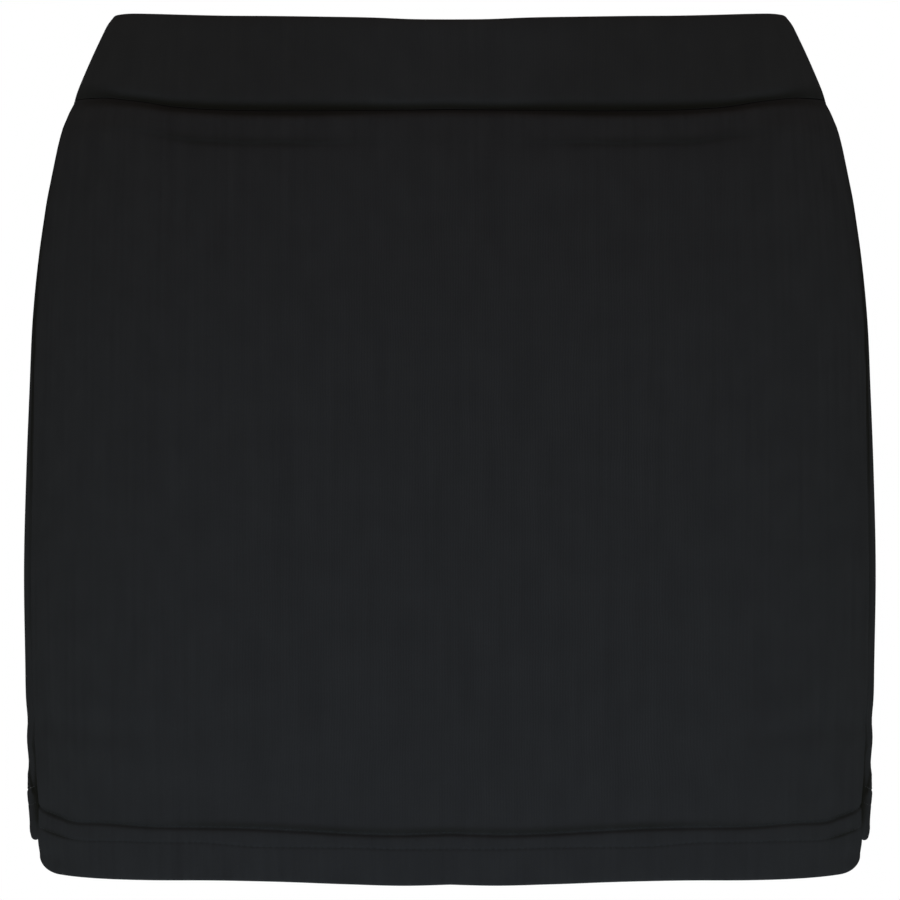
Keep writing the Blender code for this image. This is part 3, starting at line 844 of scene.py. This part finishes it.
def leg_row(height, shares, inset):
    """A row round the left leg: from the inseam by the front, the side and the back to the inseam."""
    down = (CROTCH - height) / (CROTCH - SHORTS_HEM)
    inner = SEAM_GAP / 2 + LEG_HEM_GAP / 2 * down
    front, back = (on_body(side, np.linspace(start, start + 0.5, LEG_STEPS), height, SHORTS_INSET)[:, :2]
                   for side, start in (("front", 0.5), ("back", 0.0)))
    middle = smooth(OUTLINE, height)[1] / 2
    turns = np.linspace(0.0, math.pi / 2, LEG_STEPS)
    body_x = middle * (1 - np.cos(turns))
    x = body_x + inner * np.cos(turns)
    inner_front, inner_back = (
        np.column_stack((x, blend(CROTCH_BACK, np.interp(body_x, *line.T), np.sin(turns))))
        for line in (front, back[::-1]))
    side = np.vstack((front, back))
    ring = np.vstack((inner_front, side[side[:, 0] > middle], inner_back[::-1]))
    taper = np.where(ring[:, 1] < CROTCH_BACK, LEG_TAPER_FRONT, LEG_TAPER_BACK) * down
    ring[:, 1] = blend(CROTCH_BACK, ring[:, 1], 1 - taper)
    run = run_along(ring)
    places = shares * run[-1]
    tangent = points_at(places + 0.002, run, ring) - points_at(places - 0.002, run, ring)
    tangent /= np.linalg.norm(tangent, axis=1, keepdims=True)
    points = points_at(places, run, ring)
    points += np.column_stack((-tangent[:, 1], tangent[:, 0])) * np.reshape(inset, (-1, 1))
    return np.column_stack((points, np.full(len(points), height)))


def make_shorts(side):
    """One leg and half of the hips, from the waist seam down, under the crotch, and up the turned hem."""
    shares = column_shares(0.5, 0.0034, EDGE_STEPS)
    away = np.minimum(shares, 1 - shares) * 0.5
    radius = SKIRT_FOLD_RADIUS
    waist = WAIST_SEAM - SEAM_GAP / 2
    sew = turned_in(away)
    rows = []
    for level in np.concatenate((waist - MM * np.array((0, 3, 6, 10, 14, 18)),
                                 np.linspace(waist - 0.018, RISE_CURVE_TOP, 34)[1:])):
        inset = blend(SHORTS_TOP_INSET, SHORTS_INSET, ramp(waist, waist - 0.018, level))
        rows.append(hip_row(level, shares, inset + sew))
    for turn in np.linspace(0.0, math.pi / 2, 37)[1:]:
        row = hip_row(blend(RISE_CURVE_TOP, CROTCH, math.sin(turn)), shares, SHORTS_INSET + sew)
        run = run_along(row)
        leg = leg_row(CROTCH, run / run[-1], sew)
        row[:, :2] = blend(row[:, :2], leg[:, :2], 1 - math.cos(turn))
        rows.append(row)
    closed_from = len(rows)
    (upper, upper_depth), (lower, lower_depth) = SHORTS_ROWS
    upper, lower = SHORTS_HEM + upper, SHORTS_HEM + lower
    levels = list(np.linspace(CROTCH, upper + 0.002, 30)[1:])
    levels += [upper + step * MM for step in (1.2, 0.6, 0, -0.6, -1.2, -2.5)]
    levels += [lower + step * MM for step in (2, 1.2, 0.6, 0, -0.6, -1.2)]
    levels += list(np.linspace(lower - 0.003, SHORTS_HEM + radius, 5))
    for level in levels:
        groove = upper_depth * bell(level - upper, 0.0007) + lower_depth * bell(level - lower, 0.0007)
        rows.append(leg_row(level, shares, sew + groove))
    rows += [leg_row(SHORTS_HEM + radius * (1 - math.sin(turn)), shares, sew + radius * (1 - math.cos(turn)))
             for turn in np.linspace(0.0, math.pi, 8)[1:]]
    rows += [leg_row(level, shares, sew + 2 * radius)
             for level in np.linspace(SHORTS_HEM + radius, SHORTS_HEM + SHORTS_HEM_TURN, 8)[1:]]
    for row in rows[:closed_from]:
        row[:, 0] = np.maximum(row[:, 0], SEAM_GAP / 2)
    points = np.array(rows).transpose(1, 0, 2) * MIRROR[side]
    if side == "right":
        points = points[::-1]
    around = run_along(points)
    across = around - around[-1:] / 2
    return cloth_sheet("shorts_%s_cloth" % side, points, across, shorts_jersey, SHORTS_CLOTH, closed_from)


# Each leg is cut 640 mm wide at the crotch, 510 mm at the hips, and 350 mm deep with its hem and seams.
for side in ("left", "right"):
    piece = make_shorts(side)
    shares = np.linspace(0.002, 0.998, 900)
    rows = [row_of_stitches(*(leg_row(SHORTS_HEM + above, shares, depth - lift) * MIRROR[side]
                              for lift in (0.4 * STITCH_RADIUS, 0.001))) for above, depth in SHORTS_ROWS]
    thread = stitches("shorts_%s_hem_stitches" % side, rows)
    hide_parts("shorts_" + side)


# ---- Waist seam allowance ----
# Inside the waist, the raw edges of the band, skirt and shorts are overlocked together and pressed down:
# a narrow springy ridge all round, with the overlock's thread across it.

RIDGE_CLOTH = 0.0011
RIDGE_DROPS = np.array((-1.4, -0.8, -0.2, 0.5, 1.4, 2.8, 4.5, 6.5, 8.5, 10, 11))[None] * MM
OVERLOCK_PITCH = 0.0026
OVERLOCK_SLANT = 0.0006
THREAD_LIFT = RIDGE_CLOTH + 0.3 * STITCH_RADIUS  # of the overlock's thread above the strip's face


def ridge_point(side, share, drop, lift=0.0):
    """A point of the ridge's face toward the shorts, this far below the waist seam."""
    near_band = BAND_INNER_INSET + seam_roll(side, share, 0.0 * share, 0.75) + 0.0001
    on_shorts = SHORTS_TOP_INSET + SHORTS_CLOTH + 0.0003 + 0.0005 * ramp(0.0, 0.006, drop)
    inset = blend(near_band, on_shorts, ramp(-0.0012, 0.0004, drop))
    return on_body(side, share, seam_height(side, share) - drop, inset + lift)


# The ridge is 12.5 mm deep. It runs 0.87 m round as worn, and is 0.90 m long flat.
shares = np.linspace(0.0, 1.0, 161)[:, None]
front, back = (ridge_point(side, shares, RIDGE_DROPS) for side in ("front", "back"))
points = np.concatenate((front, back[1:]))
piece = cloth_sheet("waist_seam_allowance", points, run_along(points), shorts_jersey, RIDGE_CLOTH,
                    closed_from=0, down=RIDGE_DROPS)
rows = []
for side in ("front", "back"):
    count = round(float(panel_width(side, WAIST_SEAM)) / OVERLOCK_PITCH)
    share = (np.arange(count) + 0.5) / count
    inward = ridge_point(side, share, 0.008, 0.001) - ridge_point(side, share, 0.008)
    rows.append((ridge_point(side, share - 0.12 / count, 0.0052, THREAD_LIFT),
                 ridge_point(side, share + 0.12 / count, 0.011, THREAD_LIFT), inward))
thread = stitches("waist_seam_overlock", rows)


# ---- Rise seam allowance ----
# Inside the shorts, the two legs' raw edges are overlocked together down the centre front, under the crotch
# and up the centre back, as a narrow strip over the seam.

RISE_TOP = WAIST_SEAM - 0.0125
RISE_STRIP = np.linspace(-0.0046, 0.0046, 9)


def rise_line(end):
    """y and z down the shorts' centre seam to the crotch: the front's where end is 0, the back's where 1."""
    turns = np.linspace(0.0, math.pi / 2, 34)
    straight = np.linspace(RISE_TOP, RISE_CURVE_TOP, 40)[:-1]
    levels = np.append(straight, blend(RISE_CURVE_TOP, CROTCH, np.sin(turns)))
    line = np.array([hip_row(level, np.array([end]), SHORTS_INSET)[0, 1:] for level in levels])
    line[-len(turns):, 0] = blend(CROTCH_BACK, line[-len(turns):, 0], np.cos(turns))
    return line


def rise_points(across, lift):
    """Points of the strip's face toward the shorts, this far across the seam, and their direction inward."""
    line = np.vstack((rise_line(0.0), rise_line(1.0)[-2::-1]))
    ahead = np.gradient(line, axis=0)
    inward = np.column_stack((-ahead[:, 1], ahead[:, 0])) / np.linalg.norm(ahead, axis=1, keepdims=True)
    across = np.asarray(across)[:, None]
    off = SHORTS_CLOTH + 0.0003 + lift + 0.0003 * (1 - (across / RISE_STRIP[-1]) ** 2)
    y, z = (line[:, axis] + off * inward[:, axis] for axis in range(2))
    return np.stack((across + 0 * y, y, z), axis=-1), np.column_stack((0 * inward[:, 0], inward))


# The strip is 10 mm wide with its thread, and 0.54 m long.
points, _ = rise_points(RISE_STRIP, 0.0)
piece = cloth_sheet("rise_seam_allowance", points, points[..., 0], shorts_jersey, RIDGE_CLOTH)
(first, second), inward = rise_points((-0.0042, 0.0036), THREAD_LIFT)
run = run_along(first)
places = np.arange(0.002, run[-1] - 0.002, OVERLOCK_PITCH)
row = (points_at(places, run, first), points_at(places + OVERLOCK_SLANT, run, second),
       points_at(places, run, inward))
thread = stitches("rise_seam_overlock", [row])


# ---- Studio ----
# A plain pale floor well below the garment, soft boxes all round it, and a long lens that looks slightly
# down.

FLOOR_HEIGHT = -2.6
WHITE = (1.0, 1.0, 1.0, 1.0)
bpy.ops.mesh.primitive_circle_add(vertices=96, radius=9.0, fill_type="NGON", location=(0, 0, FLOOR_HEIGHT))
floor = bpy.context.active_object
floor.name = "floor"
paint, tree = new_material("floor_paint")
fill(tree, tree.nodes["Principled BSDF"], {
    "Base Color": (0.9, 0.9, 0.9, 1.0), "Roughness": 0.9,
    "Emission Color": WHITE, "Emission Strength": 0.42})
floor.data.materials.append(paint)
floor.select_set(False)


def soft_box(name, place, aim, size, power, colour=(1.0, 1.0, 1.0)):
    """A rectangular light, not seen itself, turned toward the garment's middle at the height aim."""
    light = bpy.data.lights.new(name, "AREA")
    light.shape = "RECTANGLE"
    light.size, light.size_y = size
    light.energy = power
    light.color = colour
    box = new_object(name, light)
    box.location = place
    away = np.array((0.0, 0.0, aim)) - place
    box.rotation_euler = (math.atan2(np.hypot(*away[:2]), -away[2]), 0.0, math.atan2(-away[0], away[1]))
    box.visible_camera = False


soft_box("front_low_box", (0.0, -0.62, -0.9), -0.36, (1.0, 0.4), 7.0, (0.46, 0.72, 1.0))
soft_box("front_high_box", (0.0, -1.9, 0.9), -0.1, (1.8, 0.8), 6.2, (1.0, 0.92, 0.9))
soft_box("left_box", (0.95, -0.55, -0.85), -0.34, (0.5, 0.5), 9.2, (0.62, 0.92, 1.0))
soft_box("right_box", (-0.95, -0.55, -0.85), -0.34, (0.5, 0.5), 9.2, (0.62, 0.92, 1.0))
soft_box("back_box", (0.0, 1.8, 0.2), -0.15, (1.6, 1.2), 16.0)
soft_box("top_box", (0.0, 0.1, 1.6), -0.1, (0.9, 0.9), 12.0)

AMBIENT = 0.5  # the white room's light on the garment, against 1 as the camera sees it
world = bpy.data.worlds.new("white_studio")
bpy.context.scene.world = world
world.use_nodes = True
tree = world.node_tree
seen = add_node(tree, "LightPath", {}).outputs["Is Camera Ray"]
strength = add_node(tree, "MapRange", {"Value": seen, "To Min": AMBIENT, "To Max": 1.0}).outputs["Result"]
fill(tree, tree.nodes["Background"], {"Color": WHITE, "Strength": strength})
bpy.context.scene.view_settings.view_transform = "Standard"

LENS = 217.7  # focal length in millimetres, for a frame 36 mm wide
CAMERA_PLACE = (0.0, -2.5, -0.1175)
CAMERA_TILT = math.radians(1.432)  # how far it looks down
lens = bpy.data.cameras.new("camera")
lens.lens = LENS
lens.sensor_width = 36.0
camera = new_object("camera", lens)
camera.location = CAMERA_PLACE
camera.rotation_euler = (math.pi / 2 - CAMERA_TILT, 0.0, 0.0)
bpy.context.scene.camera = camera
